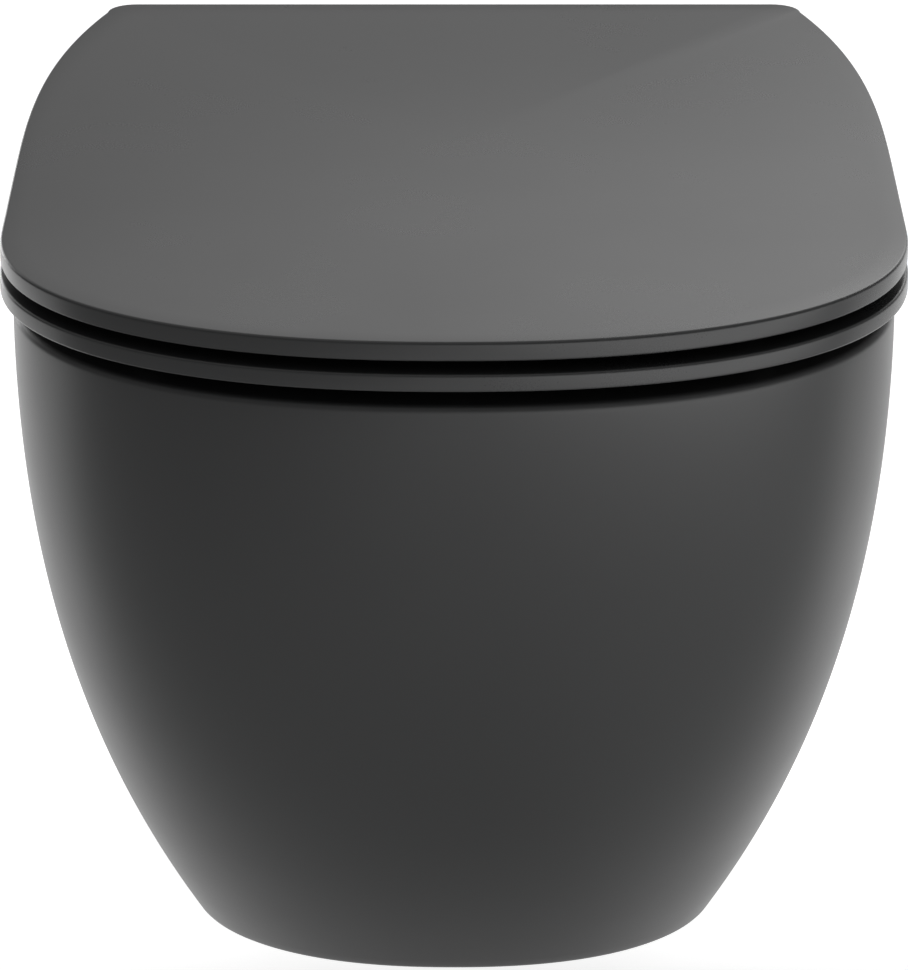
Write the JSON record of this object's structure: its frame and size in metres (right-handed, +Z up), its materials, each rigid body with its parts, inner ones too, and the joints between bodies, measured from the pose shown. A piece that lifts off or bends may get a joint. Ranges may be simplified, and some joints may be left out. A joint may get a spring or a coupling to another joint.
{
  "type": "wall-hung toilet pan",
  "caption": "Wall-hung rim-less toilet pan with a slim soft-close seat and lid on a quick-release hinge, fixed to two wall studs by hidden side clamps.",
  "frame": {"origin": "midway between the two wall studs, on the wall's surface", "axes": "+Y into the wall, -Y out into the room, +X to the right as seen from the room, +Z up"},
  "size_m": [0.3648, 0.5204, 0.3699],
  "materials": {
    "ceramic": "satin",
    "thermoset": "satin",
    "rubber": "matte",
    "stainless": "satin",
    "nylon": "matte",
    "damper_plastic": "satin",
    "brass": "satin",
    "cap_plastic": "satin"
  },
  "bodies": {
    "pan": {"pan": "ceramic", "flush_distributor": "cap_plastic", "mount_plate_left": "stainless", "mount_plate_right": "stainless", "mount_pin_left": "stainless", "mount_pin_right": "stainless", "expansion_sleeves": "rubber", "cone_nuts": "brass", "fixing_block_left": "nylon", "fixing_block_right": "nylon", "side_screws": "stainless", "side_bushes": "nylon", "side_cap_left": "cap_plastic", "side_cap_right": "cap_plastic"},
    "hinge_unit": {"hinge_block_left": "stainless", "hinge_block_right": "stainless", "hinge_shaft_left": "stainless", "hinge_shaft_right": "stainless", "latch_clips": "stainless", "release_spring_left": "stainless", "release_spring_right": "stainless"},
    "button_left": {"release_button_left": "stainless"},
    "button_right": {"release_button_right": "stainless"},
    "seat": {"seat": "thermoset", "seat_bumpers": "rubber", "seat_damper": "damper_plastic", "seat_bush": "nylon"},
    "lid": {"lid": "thermoset", "lid_bumpers": "rubber", "lid_damper": "damper_plastic", "lid_bush": "nylon", "hinge_end_caps": "cap_plastic"}
  },
  "joints": [
    {"name": "seat_lift_off", "type": "slide", "parent": "pan", "child": "hinge_unit", "axis": [0, 0, 1], "range_m": [0, 0.016], "deforming": ["latch_clips"]},
    {"name": "seat_hinge", "type": "hinge", "parent": "hinge_unit", "child": "seat", "pos_m": [0, -0.086, 0.093], "axis": [-1, 0, 0], "range_deg": [0, 95]},
    {"name": "lid_hinge", "type": "hinge", "parent": "seat", "child": "lid", "pos_m": [0, -0.086, 0.093], "axis": [1, 0, 0], "range_deg": [-95, 0]},
    {"name": "release_left", "type": "slide", "parent": "hinge_unit", "child": "button_left", "axis": [0, 1, 0], "range_m": [0, 0.0015], "stiffness_N_per_m": 800, "springref_m": -0.001, "deforming": ["release_spring_left"]},
    {"name": "release_right", "type": "slide", "parent": "hinge_unit", "child": "button_right", "axis": [0, 1, 0], "range_m": [0, 0.0015], "stiffness_N_per_m": 800, "springref_m": -0.001, "deforming": ["release_spring_right"]}
  ]
}
